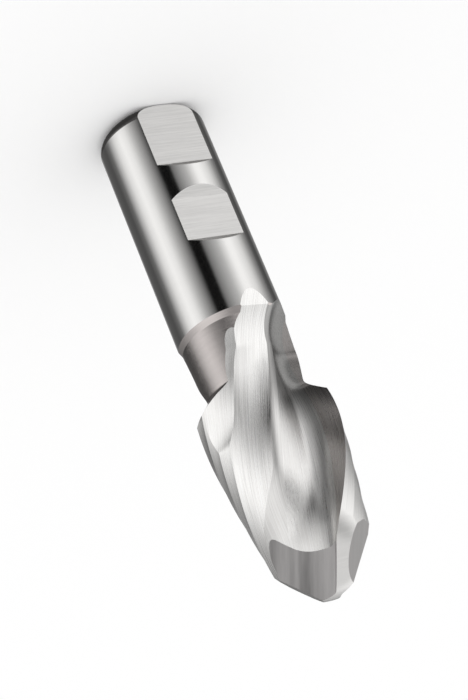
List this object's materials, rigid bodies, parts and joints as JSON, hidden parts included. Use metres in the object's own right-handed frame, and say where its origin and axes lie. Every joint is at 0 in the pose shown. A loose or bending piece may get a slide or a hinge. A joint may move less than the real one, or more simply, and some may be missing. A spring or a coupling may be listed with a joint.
{
  "type": "ball-nosed slot drill",
  "caption": "Ball-nosed end mill with spiral flutes, ground nose gashes and a cylindrical shank with clamping flats, for milling round-bottomed slots and fillets.",
  "frame": {"origin": "middle of the shank's end face", "axes": "+Z along the tool's axis from the shank end to the nose; the clamping flats face -Y"},
  "size_m": [0.0288, 0.0298, 0.121],
  "materials": {
    "ground_steel": "ground, bright, with grinding lines along the flutes and across the flats"
  },
  "bodies": {
    "root": {"cutter": "ground_steel"}
  },
  "joints": []
}
